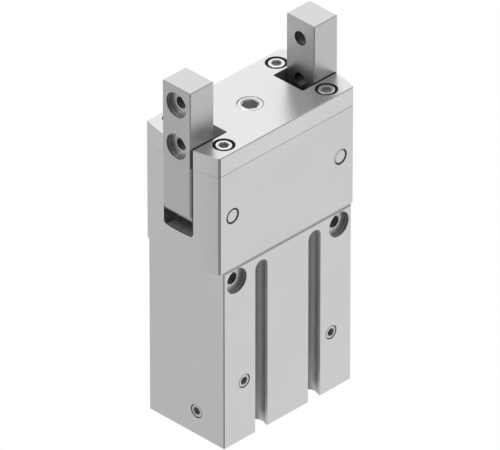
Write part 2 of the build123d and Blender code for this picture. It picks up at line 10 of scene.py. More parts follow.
import bpy
import numpy as np
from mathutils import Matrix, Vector

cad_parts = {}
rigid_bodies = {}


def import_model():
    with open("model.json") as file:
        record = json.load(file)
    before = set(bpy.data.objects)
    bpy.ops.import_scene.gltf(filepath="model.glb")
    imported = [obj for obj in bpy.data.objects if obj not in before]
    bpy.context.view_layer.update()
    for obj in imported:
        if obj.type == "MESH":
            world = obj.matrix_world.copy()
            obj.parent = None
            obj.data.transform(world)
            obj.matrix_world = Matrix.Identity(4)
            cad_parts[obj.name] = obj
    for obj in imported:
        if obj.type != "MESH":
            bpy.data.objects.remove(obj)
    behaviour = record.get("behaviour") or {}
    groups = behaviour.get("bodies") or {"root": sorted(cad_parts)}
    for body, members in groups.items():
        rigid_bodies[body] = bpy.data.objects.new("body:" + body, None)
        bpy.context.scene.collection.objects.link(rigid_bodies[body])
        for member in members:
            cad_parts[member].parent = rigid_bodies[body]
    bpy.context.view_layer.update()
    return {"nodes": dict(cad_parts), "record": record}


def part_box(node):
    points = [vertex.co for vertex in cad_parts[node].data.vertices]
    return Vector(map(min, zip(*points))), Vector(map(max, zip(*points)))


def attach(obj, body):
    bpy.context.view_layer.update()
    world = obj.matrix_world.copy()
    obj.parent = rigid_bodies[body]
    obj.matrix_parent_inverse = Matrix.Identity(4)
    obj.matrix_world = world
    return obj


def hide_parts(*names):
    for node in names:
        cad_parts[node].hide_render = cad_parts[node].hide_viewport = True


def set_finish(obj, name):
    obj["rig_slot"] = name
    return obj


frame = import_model()
mm = 0.001
mounts = {m["name"]: m for m in frame["record"]["mounts"]}
block_low, block_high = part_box("housing")
cover_low, cover_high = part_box("cover_plate")
pin_low, pin_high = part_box("pivot_pin_right")
pin_middle = (pin_low + pin_high) / 2

# %% [markdown]
# A new piece is one surface: rows of points along a profile, and columns of points round an
# axis. Each row is a closed ring. A lining is a closed sleeve, so its last row joins its
# first. A screw is closed by one point at each end. The whole grid is worked out as arrays.
# Each row has the number of a finish, so one piece can be ground here and tapped there.

# %% Surfaces from grids of points
own, cut, bored, milled, bevelled, drawn = range(6)  # own is the metal of the whole piece
sharp_angle = radians(32)  # a crease sharper than this is shaded as an edge


def grid_faces(rows, columns, sleeve):
    """Quads between each row and the next; in a sleeve the last row joins the first."""
    last = rows if sleeve else rows - 1
    row, column = np.meshgrid(np.arange(last), np.arange(columns), indexing="ij")
    next_row, next_column = (row + 1) % rows, (column + 1) % columns
    corners = (row * columns + column, row * columns + next_column,
               next_row * columns + next_column, next_row * columns + column)
    return np.stack([c.ravel() for c in corners], axis=1)


def end_caps(rows, columns):
    """Triangles from the first ring to an added point, and from the last ring to a second one."""
    ring = np.arange(columns)
    following = (ring + 1) % columns
    first_point, last_point = rows * columns, rows * columns + 1
    low = np.stack([following, ring, np.full(columns, first_point)], axis=1)
    base = (rows - 1) * columns
    high = np.stack([base + ring, base + following, np.full(columns, last_point)], axis=1)
    return np.concatenate([low, high])


def turned_volume(points, faces):
    """Signed volume: a sixth of the sum of each triangle's box product, fans of every face."""
    total = 0.0
    for k in range(1, faces.shape[1] - 1):
        a, b, c = points[faces[:, 0]], points[faces[:, k]], points[faces[:, k + 1]]
        total += np.einsum("ij,ij->i", a, np.cross(b, c)).sum() / 6
    return total


def outward(points, parts):
    """The same groups of faces, turned over when their signed volumes add up to less than 0."""
    volume = sum(turned_volume(points, part) for part in parts)
    return parts if volume >= 0 else [part[:, ::-1] for part in parts]


def surface(radius, along, sleeve, finish):
    """Points at radius (cos a, sin a) and height along, for angles a round a full turn.

    radius and along are arrays of rows by columns, and finish is a number for each row.
    Returns points, faces turned outwards, and each face's number.
    """
    rows, columns = radius.shape
    angle = np.linspace(0, tau, columns, endpoint=False)[None, :]
    grid = np.stack([radius * np.cos(angle), radius * np.sin(angle), along], axis=-1)
    points = grid.reshape(-1, 3)
    parts = [grid_faces(rows, columns, sleeve)]
    strips = finish if sleeve else finish[:-1]
    face_finish = [np.repeat(strips, columns)]
    if not sleeve:
        ends = [[0, 0, along[0].mean()], [0, 0, along[-1].mean()]]
        points = np.concatenate([points, ends])
        parts.append(end_caps(rows, columns))
        face_finish.append(np.repeat(finish[[0, -1]], columns))
    return points, outward(points, parts), np.concatenate(face_finish).astype(int)


def axes_for(direction):
    """Three unit vectors: the piece's own X, Y and Z, with Z along the direction."""
    z = np.array(direction, float)
    x = np.array([0.0, 0.0, 1.0]) if abs(z[2]) < 0.5 else np.array([1.0, 0.0, 0.0])
    y = np.cross(z, x)
    return np.stack([x, y, z])


def make_piece(name, shape, places, body, slot, *replaced, crest=None):
    """One mesh with a copy of the shape at each place, a pair of a point and a direction.

    crest is a value for each point of the shape, kept on the mesh for the painted light and shade
    of threads and rings.
    """
    points, parts, finish = shape
    all_points, all_faces = [], []
    for count, (centre, direction) in enumerate(places):
        all_points.append(points @ axes_for(direction) + np.array(centre))
        shift = count * len(points)
        all_faces += [face for part in parts for face in (part + shift).tolist()]
    mesh = bpy.data.meshes.new(name)
    mesh.from_pydata(np.concatenate(all_points).tolist(), [], all_faces)
    mesh.polygons.foreach_set("material_index", np.tile(finish, len(places)))
    if crest is not None:
        values = np.tile(crest, len(places)).astype(np.float32)
        mesh.attributes.new("crest", "FLOAT", "POINT").data.foreach_set("value", values)
    mesh.shade_smooth()
    mesh.set_sharp_from_angle(angle=sharp_angle)
    piece = bpy.data.objects.new(name, mesh)
    bpy.context.scene.collection.objects.link(piece)
    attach(piece, body)
    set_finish(piece, slot)
    if replaced:
        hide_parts(*replaced)
    print(name, len(mesh.polygons), "faces")
    return piece


print("finishes that a face can have:", drawn + 1)

# %% [markdown]
# A metric thread is a groove with flanks at 60 degrees that climbs by one pitch a turn. Here
# it is a height added to a plain cylinder: a triangle wave of the place along the axis less
# the angle's share of a pitch, with its tip and root cut flat.

# %% Thread shape
m5, m5_pitch = 2.5 * mm, 0.8 * mm  # radius and pitch
m4, m4_pitch = 2.0 * mm, 0.7 * mm
thread_share = 0.54  # depth of a thread over its pitch
root_flat, crest_flat = 0.2, 0.12  # shares of the wave that are cut flat


def thread_wave(angle, along, pitch):
    """Height from 0 at the root to 1 at the crest, at each angle and place along the axis.

    The phase is the place over the pitch less the angle over a turn, and the tent is one less
    the distance of twice the phase from one.
    """
    phase = (along / pitch - angle / tau) % 1.0
    tent = 1 - np.abs(2 * phase - 1)
    return np.clip((tent - root_flat) / (1 - root_flat - crest_flat), 0, 1)


def run(start, end, count):
    """Evenly spaced values from start up to, but without, the end."""
    return np.linspace(start, end, count, endpoint=False)


print("thread depth of an M5 hole", round(thread_share * m5_pitch / mm, 3), "mm")

# %% [markdown]
# The finger holes and the mounting holes have a recess for a centring sleeve, a floor, a
# countersink and a thread. The drill and the reamer leave fine rings on them, which catch
# the light. The solid model has the plain hole, so a thin lining lies on it: its inner side
# carries the marks and the thread, its outer side sits on the solid's wall. Its colour adds
# painted shade in the thread's grooves and the rings' valleys, and painted highlights on
# their crests.

# %% Linings of the threaded holes
turn_count = 56  # points round a hole
rows_per_turn = 11  # rows of points in one turn of a thread
skin = 0.012 * mm  # how far a lining stands off the solid's wall
mark_pitch = 0.95 * mm
mark_height = 0.04 * mm
floor_mark = 0.004 * mm  # the drill's point leaves finer rings on the floor
countersink = 0.26 * mm  # width of the bevel at a thread's mouth
sink_slope = 0.8  # height of that bevel over its width


def ridges(places):
    """Rings of a tool, from 0 in a valley to 1 on a ridge: half of one plus a sine."""
    return (1 + np.sin(tau * places / mark_pitch)) / 2


def lining(thread_radius, pitch, start, end, recess=None, open_end=False):
    """Sleeve on a hole's wall; depths are measured inwards from the face.

    Its inner side is: wall of the recess, floor, countersink, thread. The radius of the
    thread's rows is the hole's radius less the thread's height times the wave above.
    Returns the sleeve, and for each point how near it is to the crest of its thread or ring,
    from 0 to 1; the materials paint light and shade by that value.
    """
    depth_of_thread = thread_share * pitch
    root = thread_radius - 2 * skin
    crest = root - depth_of_thread
    lead = depth_of_thread
    depths, radii, weights, finish, ridge_lights = [], [], [], [], []

    def add(depth, radius, number=own, ridge_light=0, weight=0):
        depth, radius = np.broadcast_arrays(np.atleast_1d(depth).astype(float), radius)
        depths.append(depth)
        radii.append(radius)
        weights.append(np.full(depth.shape, float(weight)))
        finish.append(np.full(depth.shape, number))
        ridge_lights.append(np.broadcast_to(ridge_light, depth.shape))

    if recess:
        lip, fillet, step = 0.05 * mm, 0.1 * mm, 0.02 * mm
        wall, floor = recess - 3 * skin, start - 3 * skin
        add(0.0, recess - skin)
        marks = run(lip, floor - fillet, 50)
        # the rings' ridges also raise the crest value, so they are painted lighter and the valleys
        # darker
        add(marks, wall - mark_height * ridges(marks), bored, ridges(marks))
        add(floor - 2 * step, wall - step, bored)
        rings = run(wall - 4 * step, crest + countersink + 4 * step, 46)
        add(floor - 2 * floor_mark * ridges(rings), rings)
        add(floor + step, crest + countersink, bevelled)
        add(floor + step + sink_slope * countersink, crest, cut)
    else:
        add(start, thread_radius - skin, bevelled)
        add(start + 0.03 * mm, root - 0.02 * mm, bevelled)
    add(start + lead, crest, cut)
    threaded = run(start + lead + 0.02 * mm, end - lead, int((end - start) / pitch * rows_per_turn))
    add(threaded, root, cut, weight=1)
    add(end - lead, crest, cut)
    add(end, (thread_radius - skin) if open_end else crest)
    add(end, thread_radius - skin)
    if recess:
        add(start - skin, thread_radius - skin)
        add(start - skin, recess - skin)
    depth = np.concatenate(depths)[:, None]
    radius = np.concatenate(radii)[:, None]
    weight = np.concatenate(weights)[:, None]
    angle = np.linspace(0, tau, turn_count, endpoint=False)[None, :]
    wave = thread_wave(angle, depth, pitch) * weight
    along = np.broadcast_to(-depth, wave.shape)
    sleeve = surface(radius - wave * depth_of_thread, along, True, np.concatenate(finish))
    return sleeve, (wave + np.concatenate(ridge_lights)[:, None]).ravel()


def spaced(mount, step):
    """Two hole centres of a mounting pattern: its middle, moved both ways by half the step."""
    middle, step = np.array(mounts[mount]["pos_m"]), np.array(step)
    return [middle - step / 2, middle + step / 2]


def four_corners(x, y, z, up):
    """Places at plus and minus x and y, at one height, looking up (1) or down (-1)."""
    return [((sx * x, sy * y, z), (0, 0, up)) for sx in (-1, 1) for sy in (-1, 1)]


sleeve_radius, sleeve_depth = 4.5 * mm, 2.1 * mm
print("lining stands off the wall by", skin / mm, "mm")

# %% [markdown]
# Each jaw has two holes for the gripper finger, with their recesses in the outer face. The
# threads go through the jaw, so its lining is open at the inner end too.

# %% Finger holes in the jaws
jaw_thickness = 10.5 * mm
finger_step = mounts["jaw_right_mount"]["dims"]["spacing_y_mm"] * mm
for side, sign in (("right", 1), ("left", -1)):
    low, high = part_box(f"jaw_{side}")
    outer_x = high.x if sign > 0 else low.x
    shape, crest = lining(m5, m5_pitch, sleeve_depth, jaw_thickness, recess=sleeve_radius,
                          open_end=True)
    places = [((outer_x, 0, c[2]), (sign, 0, 0))
              for c in spaced(f"jaw_{side}_mount", (0, 0, finger_step))]
    make_piece(f"finger_threads_{side}", shape, places, f"jaw_{side}", "jaw_steel", crest=crest)

# %% [markdown]
# The housing has the same recessed holes in its front and back, four plain threads in its
# base, and two air ports in its back. Their places come from the record's mounts.

# %% Mounting holes in the housing
mount_thread_end = sleeve_depth + 8.0 * mm
base_thread_end = 8.0 * mm
port_thread_end = 7.0 * mm
mount_step = mounts["front_mount"]["dims"]["spacing_x_mm"] * mm
shape, crest = lining(m5, m5_pitch, sleeve_depth, mount_thread_end, recess=sleeve_radius)
places = []
for mount, face_y, out in (("front_mount", block_low.y, -1), ("back_mount", block_high.y, 1)):
    places += [((c[0], face_y, c[2]), (0, out, 0)) for c in spaced(mount, (mount_step, 0, 0))]
make_piece("mounting_threads", shape, places, "housing", "housing_metal", crest=crest)

base = mounts["base_mount"]["dims"]
half_x, half_y = base["spacing_x_mm"] * mm / 2, base["spacing_y_mm"] * mm / 2
shape, crest = lining(m4, m4_pitch, 0, base_thread_end)
make_piece("base_threads", shape, four_corners(half_x, half_y, 0, -1), "housing",
           "housing_metal", crest=crest)

places = []
for port in ("closing_port", "opening_port"):
    x, _, z = mounts[port]["pos_m"]
    places.append(((x, block_high.y, z), (0, 1, 0)))
shape, crest = lining(m5, m5_pitch, 0, port_thread_end)
make_piece("port_threads", shape, places, "housing", "housing_metal", crest=crest)

# %% [markdown]
# A socket cap screw is turned, knurled and then broached. Its whole skin is one surface: the
# profile runs from the bottom of the socket, up the hexagon, over the head, down the knurl
# and along the thread to the tip. Where the socket is, the ring is a hexagon instead of a
# circle: its radius is the half width across flats over the cosine of the angle to the
# nearest flat.

# %% Shapes of the screws
screw_columns = 96  # points round a screw
knurl_depth = 0.06 * mm
tip_radius = 0.02 * mm  # the ring next to the point that closes a screw
plug_slope = 0.6  # height of a plug's bevel over its width
bevel_step = 0.02 * mm  # from that bevel to the first turn of the thread


def ring(radius, height, finish=cut, hexagon=0, knurl=0, thread=0):
    """One ring of a screw; the last three say whether it is a hexagon, knurled or threaded."""
    return (radius, height, hexagon, knurl, thread, finish)


def screw(rings, pitch, knurls=0):
    """Closed surface through the rings, less the knurl's cosine and the thread's groove."""
    rows = np.array(rings)
    angle = np.linspace(0, tau, screw_columns, endpoint=False)[None, :]
    to_flat = (angle + pi / 6) % (pi / 3) - pi / 6
    flat_share = 1 / np.cos(to_flat)
    radius, height = rows[:, 0:1], rows[:, 1:2]
    hexagon, knurl, thread = rows[:, 2:3], rows[:, 3:4], rows[:, 4:5]
    outline = radius * (1 - hexagon) + radius * flat_share * hexagon
    outline = outline - knurl * knurl_depth * (1 + np.cos(knurls * angle)) / 2
    groove = 1 - thread_wave(angle, height, pitch)
    outline = outline - thread * thread_share * pitch * groove
    return surface(outline, np.broadcast_to(height, outline.shape), False, rows[:, 5])


def socket_rings(key, top, depth, mouth, face):
    """The hexagon socket from its cone-shaped bottom up to its bevelled mouth."""
    flat, corner = key / 2, key / 2 / cos(pi / 6)
    bottom, fillet = top - depth, 0.05 * mm
    return [
        ring(tip_radius, bottom - 0.25 * flat),
        ring(flat * 0.85, bottom - fillet),
        ring(flat * 0.97, bottom, hexagon=1),
        ring(flat, bottom + fillet, hexagon=1),
        ring(flat, top - mouth, hexagon=1),
        ring(corner * 1.01, top - 0.9 * mouth),
        ring(corner + mouth, top, face),
    ]


def threaded_rings(radius, top, end, pitch, per_turn=6):
    """Rings down a threaded shank, plain for the first half turn, then a bevelled tip."""
    tip_bevel = 0.6 * pitch
    heights = run(top - pitch / 2, end + tip_bevel, int(abs(top - end) / pitch * per_turn))
    shank = [ring(radius, height, thread=1) for height in heights]
    return [ring(radius, top)] + shank + [ring(radius - tip_bevel, end), ring(tip_radius, end)]


def cap_screw(radius, pitch, head_radius, head_height, key, length):
    """Socket cap screw: rounded and knurled head above zero, thread below."""
    edge, under_bevel, shank_gap = 0.28 * mm, 0.12 * mm, 0.1 * mm
    rings = socket_rings(key, head_height, 0.55 * head_height, 0.1 * mm, own)
    rings += [ring(head_radius - edge + edge * sin(a), head_height - edge + edge * cos(a), own)
              for a in np.linspace(0, pi / 2, 7)]
    rings += [ring(head_radius, head_height - edge - 0.1 * mm, knurl=1),
              ring(head_radius, 0.2 * mm, knurl=1),
              ring(head_radius - under_bevel, 0.0),
              ring(radius + shank_gap, 0.0)]
    rings += threaded_rings(radius, -shank_gap, -length, pitch)
    return screw(rings, pitch, knurls=24)


def plug(radius, pitch, key, length, bevel, mouth, face):
    """Headless screw, its outer face at zero: bevelled edge, thread, flat tip."""
    bevel_end = -bevel * plug_slope
    rings = socket_rings(key, 0.0, 0.6 * length, mouth, face)
    rings += [ring(radius - bevel - 0.04 * mm, 0.0, face),
              ring(radius - bevel, -0.03 * mm, face),
              ring(radius - bevel_step, bevel_end)]
    rings += threaded_rings(radius, bevel_end - bevel_step, -length, pitch)
    return screw(rings, pitch)


print("points round a screw", screw_columns)

# %% [markdown]
# Four M3 screws hold the cover. The solids give their places, and here they get their real
# heads, which end flush with the cover.

# %% Cover screws
head_radius, head_height = 2.75 * mm, 3.0 * mm
m3, m3_pitch, m3_key, m3_length = 1.47 * mm, 0.5 * mm, 3.0 * mm, 12.0 * mm
screws_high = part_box("cover_screws")[1]
screw_x, screw_y = screws_high.x - head_radius, screws_high.y - head_radius
under_head = cover_high.z - head_height - 0.05 * mm
shape = cap_screw(m3, m3_pitch, head_radius, head_height, m3_key, m3_length)
make_piece("cover_cap_screws", shape, four_corners(screw_x, screw_y, under_head, 1),
           "housing", "screw_steel", "cover_screws")

# %% [markdown]
# The counterbores of those screws are milled after the cover is anodised, so their walls are
# bare. A thin sleeve with the cutter's rings lies on the wall and on the floor around the
# head, in a grey much darker than the cover: painted shade of the recess.

# %% Counterbores round the cover screws
def turned(radii, depths, finish):
    """Sleeve turned from a closed profile of radii and depths, all in one finish."""
    radii, depths = np.array(radii), np.array(depths)
    shape = (len(radii), turn_count)
    return surface(np.broadcast_to(radii[:, None], shape),
                   np.broadcast_to(-depths[:, None], shape), True, np.full(len(radii), finish))


def counterbore(radius, depth, inner):
    """Sleeve on a counterbore's wall and floor, with the cutter's fine rings."""
    marks = run(0.04 * mm, depth - 0.1 * mm, 48)
    wall = radius - 3 * skin - mark_height * ridges(marks)
    rings = run(radius - 0.08 * mm, inner + 0.1 * mm, 12)
    floor = depth - 3 * skin - 2 * floor_mark * ridges(rings)
    return turned(np.concatenate([[radius - skin], wall, rings, [inner, radius - skin]]),
                  np.concatenate([[0.0], marks, floor, [depth - skin, depth - skin]]), cut)


counterbore_radius, shank_radius = 3.75 * mm, 2.0 * mm
shape = counterbore(counterbore_radius, cover_high.z - under_head, shank_radius)
# the sleeve's dark grey is painted shade of the counterbore
make_piece("counterbores", shape, four_corners(screw_x, screw_y, cover_high.z, 1),
           "housing", "cover_metal")

# %% [markdown]
# Headless screws close the hole in the middle of the cover, the front ends of the two air
# channels, and a channel in each end. Each small one sits in a short bored mouth.

# %% Screw plugs
low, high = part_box("centre_plug")
shape = plug((high.x - low.x) / 2, pitch=1.0 * mm, key=5.0 * mm, length=high.z - low.z,
             bevel=0.45 * mm, mouth=0.22 * mm, face=own)
make_piece("centre_screw_plug", shape, [((0, 0, high.z), (0, 0, 1))],
           "housing", "screw_steel", "centre_plug")

low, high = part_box("front_plug_screws")
plug_radius, plug_length = (high.z - low.z) / 2, high.y - low.y
plug_x, plug_z = high.x - plug_radius, (high.z + low.z) / 2
plug_gap = 0.045 * mm  # room between a screw plug and the sleeve round it
mouth_depth = 0.7 * mm
small_plug = plug(plug_radius - plug_gap, m5_pitch, key=2.5 * mm, length=plug_length,
                  bevel=0.35 * mm, mouth=0.08 * mm, face=bored)
# The mouth's sleeve carries no crest values, so the bored finish comes out at its darkest: painted
# shade on the hole's wall round the sunk plug.
plug_mouth = turned([m5 - skin, m5 - 3 * skin, m5 - 3 * skin, m5 - skin],
                    [0.0, 0.01 * mm, mouth_depth, mouth_depth], bored)
places = [((s * plug_x, low.y, plug_z), (0, -1, 0)) for s in (-1, 1)]
make_piece("front_screw_plugs", small_plug, places, "housing", "screw_steel", "front_plug_screws")
places = [((s * plug_x, block_low.y, plug_z), (0, -1, 0)) for s in (-1, 1)]
make_piece("front_plug_mouths", plug_mouth, places, "housing", "housing_metal")

low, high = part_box("end_plug_screws")
plug_y = (high.y + low.y) / 2
sunk = 0.1 * mm  # how deep these plugs lie below the ends


def at_ends(outward_by):
    """Places on both ends, the left one lower; moved outwards from the solid plugs."""
    return [((low.x - outward_by, plug_y, low.z + plug_radius), (-1, 0, 0)),
            ((high.x + outward_by, plug_y, high.z - plug_radius), (1, 0, 0))]


make_piece("end_screw_plugs", small_plug, at_ends(0), "housing", "screw_steel", "end_plug_screws")
make_piece("end_plug_mouths", plug_mouth, at_ends(sunk), "housing", "housing_metal")

# %% [markdown]
# Where a pivot pin ends in the front or the back face, its chamfer and the hole's chamfer
# make a small groove. A thin dark ring of painted shade lies in it and on its edges.

# %% Painted shade rings round the pivot pins
ring_radius, ring_width = 2.46 * mm, 0.54 * mm
ring_lift = 0.01 * mm  # above the face
inside, outside = ring_radius - ring_width / 2, ring_radius + ring_width / 2
shape = turned([inside, outside, outside, inside],
               [-ring_lift, -ring_lift, 2 * skin - ring_lift, 2 * skin - ring_lift], cut)
places = []
for side in ("right", "left"):
    low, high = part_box(f"pivot_pin_{side}")
    middle = (low + high) / 2
    places += [((middle.x, out * cover_high.y, middle.z), (0, out, 0)) for out in (-1, 1)]
# these rings are dark sheets of painted shade in the grooves round the pins
make_piece("painted_pin_ring_shade", shape, places, "housing", "pin_steel")

# %% [markdown]
# The sensor slots are drawn with the profile, so their groove carries long fine lines. Its
# skin is duller and a darker grey than the ground faces; the darker grey is painted shade of
# the groove. The groove gets a thin strip: a line round it, closed by the same line a hair
# behind it, and drawn along the slot.

# %% Skins of the sensor slots
def drawn_strip(line, backing, start, end, finish):
    """Thin closed strip: a line and the line behind it, joined into a loop and drawn along Z."""
    loop = np.concatenate([line, backing[::-1]])
    count = len(line)
    points = np.concatenate([np.column_stack([loop, np.full(2 * count, z)]) for z in (start, end)])
    step = np.arange(count - 1)
    lid = np.stack([step, step + 1, 2 * count - 2 - step, 2 * count - 1 - step], axis=1)
    parts = outward(points, [grid_faces(2, 2 * count, False), lid[:, ::-1], lid + 2 * count])
    return points, parts, np.full(sum(len(part) for part in parts), finish)


groove_radius, groove_axis_depth = 3.35 * mm, 2.95 * mm
groove_x, groove_start_z, groove_top_z = 11.95 * mm, 0.02 * mm, 61.15 * mm
mouth_half = 2.75 * mm
open_angle = np.arcsin(mouth_half / groove_radius)
sweep = np.linspace(open_angle, tau - open_angle, 61)


def arc(radius, facing):
    """Points round the groove, from one lip of the mouth to the other; facing is its angle."""
    return radius * np.column_stack([np.cos(facing + sweep), np.sin(facing + sweep)])


for side, face_y, facing in (("front", block_low.y, -pi / 2), ("back", block_high.y, pi / 2)):
    shape = drawn_strip(arc(groove_radius - 3 * skin, facing), arc(groove_radius - skin, facing),
                        groove_start_z, groove_top_z, drawn)
    axis_y = face_y - np.sign(face_y) * groove_axis_depth
    places = [((s * groove_x, axis_y, 0), (0, 0, 1)) for s in (-1, 1)]
    # the darker grey of this strip is painted shade of the groove
    make_piece(f"drawn_slots_{side}", shape, places, "housing", "housing_metal")

# %% [markdown]
# The jaw slots are milled through the cover with the side of a cutter. Their long walls get
# a dull, darker grey, and the end wall a dull, pale one: painted light from above on that
# wall. Each wall gets a strip of its own, drawn along X or along Y.

# %% Walls of the jaw slots
cover_slot_room = 5.4 * mm  # from a closed jaw to the end of its slot
slot_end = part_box("jaw_right")[1].x - jaw_thickness - cover_slot_room
slot_half, wall_end = 6.35 * mm, 32.1 * mm
wall_gap = 0.1 * mm  # from a wall's end to the next wall
wall_line = np.array([[cover_low.z + wall_gap / 2, 0], [cover_high.z - wall_gap / 2, 0]])


def wall_strip(place, inward, start, end, finish):
    """Strip up the wall of a slot, at a place across it, with its skin towards the slot."""
    return drawn_strip(wall_line + [0, place + 3 * skin * inward],
                       wall_line + [0, place + skin * inward], start, end, finish)


for side, sign in (("right", 1), ("left", -1)):
    ends = sorted((sign * (slot_end + wall_gap), sign * wall_end))
    for name, wall in (("front", 1), ("back", -1)):
        shape = wall_strip(wall * slot_half, -wall, *ends, milled)
        make_piece(f"slot_wall_{side}_{name}", shape, [((0, 0, 0), (1, 0, 0))],
                   "housing", "cover_metal")
    # the end wall's pale finish is painted light
    shape = wall_strip(sign * slot_end, sign, wall_gap - slot_half, slot_half - wall_gap, bevelled)
    make_piece(f"slot_wall_{side}_end", shape, [((0, 0, 0), (0, 1, 0))], "housing", "cover_metal")

# %% [markdown]
# The floor below a jaw is milled across, so the cutter leaves a row of fine ripples. The
# strip's line is a sine over the length of the floor.

# %% Floors of the jaw slots
floor_z = pin_middle.z - 9.0 * mm
floor_start, floor_end, floor_half = 22.2 * mm, 31.9 * mm, 5.2 * mm
ripple_height, ripple_pitch = 0.006 * mm, 0.5 * mm
across = np.linspace(floor_start, floor_end, 160)
ripple = 2 * skin + ripple_height * np.sin(tau * across / ripple_pitch)
for side, sign in (("right", 1), ("left", -1)):
    line = np.column_stack([ripple, sign * across])
    backing = np.column_stack([np.full(len(across), skin / 2), sign * across])
    shape = drawn_strip(line, backing, -floor_half, floor_half, milled)
    make_piece(f"milled_floor_{side}", shape, [((0, 0, floor_z), (0, 1, 0))],
               "housing", "housing_metal")

# %% [markdown]
# A thin dark strip of painted shade runs along the edges of the jaw slots on the cover, and
# down the one side of each curved end that its jaw runs against: it stands for the shadow in
# a wider gap between jaw and slot. Here it is a thin plate: four corners a hair above the
# face, and the same four again higher.

# %% Painted shade along the jaw slots
gap_shade_width = 0.28 * mm
cover_chamfer, seam_chamfer = 0.25 * mm, 0.12 * mm
end_bulge = 2.6 * mm  # how far a curved end stands out in its middle
end_radius = (cover_high.y ** 2 + end_bulge ** 2) / (2 * end_bulge)
slot_bottom = 77.9 * mm  # where the slot's rounded lower corners end


def end_x(y):
    """Place of the curved end: its middle less the radius, plus the root of radius² less y²."""
    return block_high.x - end_radius + np.sqrt(end_radius ** 2 - y ** 2)


def thin_plate(corners, out):
    """Closed plate: corners in order round it, lifted along out by a fifth of a skin and one."""
    corners, out = np.array(corners), np.array(out)
    points = np.concatenate([corners + 0.2 * skin * out, corners + skin * out])
    faces = np.array([[0, 1, 2, 3], [7, 6, 5, 4], [0, 4, 5, 1], [1, 5, 6, 2], [2, 6, 7, 3],
                      [3, 7, 4, 0]])
    return points, outward(points, [faces])[0]


def joined(plates, finish):
    """One shape from several plates."""
    points = np.concatenate([plate[0] for plate in plates])
    starts = np.cumsum([0] + [len(plate[0]) for plate in plates[:-1]])
    faces = [plate[1] + start for plate, start in zip(plates, starts)]
    return points, faces, np.full(sum(len(f) for f in faces), finish)


def on_cover(x, y):
    """Plate on the cover between two values of X and two of Y."""
    return thin_plate([(x[0], y[0], cover_high.z), (x[1], y[0], cover_high.z),
                       (x[1], y[1], cover_high.z), (x[0], y[1], cover_high.z)], (0, 0, 1))


def on_end(side, y, z):
    """Plate on a curved end between two values of Y and two of Z."""
    corners = ((y[0], z[0]), (y[1], z[0]), (y[1], z[1]), (y[0], z[1]))
    return thin_plate([(side * end_x(cy), cy, cz) for cy, cz in corners], (side, 0, 0))


plates = []
far_half = slot_half + gap_shade_width
for side in (-1, 1):
    length = (side * slot_end, side * (end_x(slot_half) - cover_chamfer))
    plates += [on_cover(length, (wall * slot_half, wall * far_half)) for wall in (-1, 1)]
    for heights in ((cover_low.z + seam_chamfer, cover_high.z - cover_chamfer),
                    (slot_bottom, cover_low.z - seam_chamfer)):
        plates.append(on_end(side, (side * slot_half, side * far_half), heights))
    plates.append(on_cover((side * (slot_end - gap_shade_width / 2), side * slot_end),
                           (-slot_half, slot_half)))
# the strip is painted shade, standing for the shadow in the gap between jaw and slot
make_piece("painted_slot_gap_shade", joined(plates, cut), [((0, 0, 0), (0, 0, 1))], "housing", "pin_steel")

# %% [markdown]
# Metals differ in three things that the eye reads: how blurred the reflection is, how the
# cutting or rolling left its grain, and how the edges were broken. The grain and the edge
# are the same work for every metal, so each is a node group made once. The grain group
# stretches a noise along the direction of the tool and gives a value; the edge group
# compares the true normal with one that is rounded over a small radius. A third group
# paints light and shade on a thread or a tool's rings by the crest value that the linings carry.

# %% Shared effects
def add_node(tree, kind, *inputs, operation=None, **named):
    """New node; each input, by order or by name, is linked to a socket or set to a value."""
    node = tree.nodes.new("ShaderNode" + kind)
    if operation:
        node.operation = operation
    for key, value in [*enumerate(inputs), *named.items()]:
        if isinstance(value, bpy.types.NodeSocket):
            tree.links.new(value, node.inputs[key])
        else:
            node.inputs[key].default_value = value
    return node


def math_node(tree, kind, a, b=0.0, clamp=False):
    """Output of a math node on two links or numbers."""
    node = add_node(tree, "Math", a, b, operation=kind)
    node.use_clamp = clamp
    return node.outputs[0]


def new_group(name, inputs, outputs):
    """Empty node group: inputs are (name, kind, default), and outputs are (name, kind)."""
    group = bpy.data.node_groups.new(name, "ShaderNodeTree")
    for label, kind, value in inputs:
        socket = group.interface.new_socket(label, in_out="INPUT", socket_type=kind)
        socket.default_value = value
    for label, kind in outputs:
        group.interface.new_socket(label, in_out="OUTPUT", socket_type=kind)
    enter = group.nodes.new("NodeGroupInput")
    leave = group.nodes.new("NodeGroupOutput")
    return group, enter, leave


def place_group(tree, group, **values):
    """Node that stands for a group, with the group's inputs set by name."""
    node = tree.nodes.new("ShaderNodeGroup")
    node.node_tree = group
    for label, value in values.items():
        node.inputs[label].default_value = value
    return node


def grain_group():
    """Fine grain along a direction, and slow cloudy change: both values about 0 to 1."""
    group, enter, leave = new_group(
        "tool_grain",
        [("Stretch", "NodeSocketVector", (1, 1, 1)), ("Fineness", "NodeSocketFloat", 1.0)],
        [("Grain", "NodeSocketFloat"), ("Cloud", "NodeSocketFloat")])
    place = add_node(group, "TexCoord").outputs["Object"]
    scaled = add_node(group, "VectorMath", place, enter.outputs["Stretch"], operation="MULTIPLY")
    noise = add_node(group, "TexNoise", Vector=scaled.outputs[0], Scale=enter.outputs["Fineness"],
                     Detail=5.0, Roughness=0.62)
    cloud = add_node(group, "TexNoise", Vector=place, Scale=45.0, Detail=2.0)
    group.links.new(noise.outputs["Fac"], leave.inputs["Grain"])
    group.links.new(cloud.outputs["Fac"], leave.inputs["Cloud"])
    return group


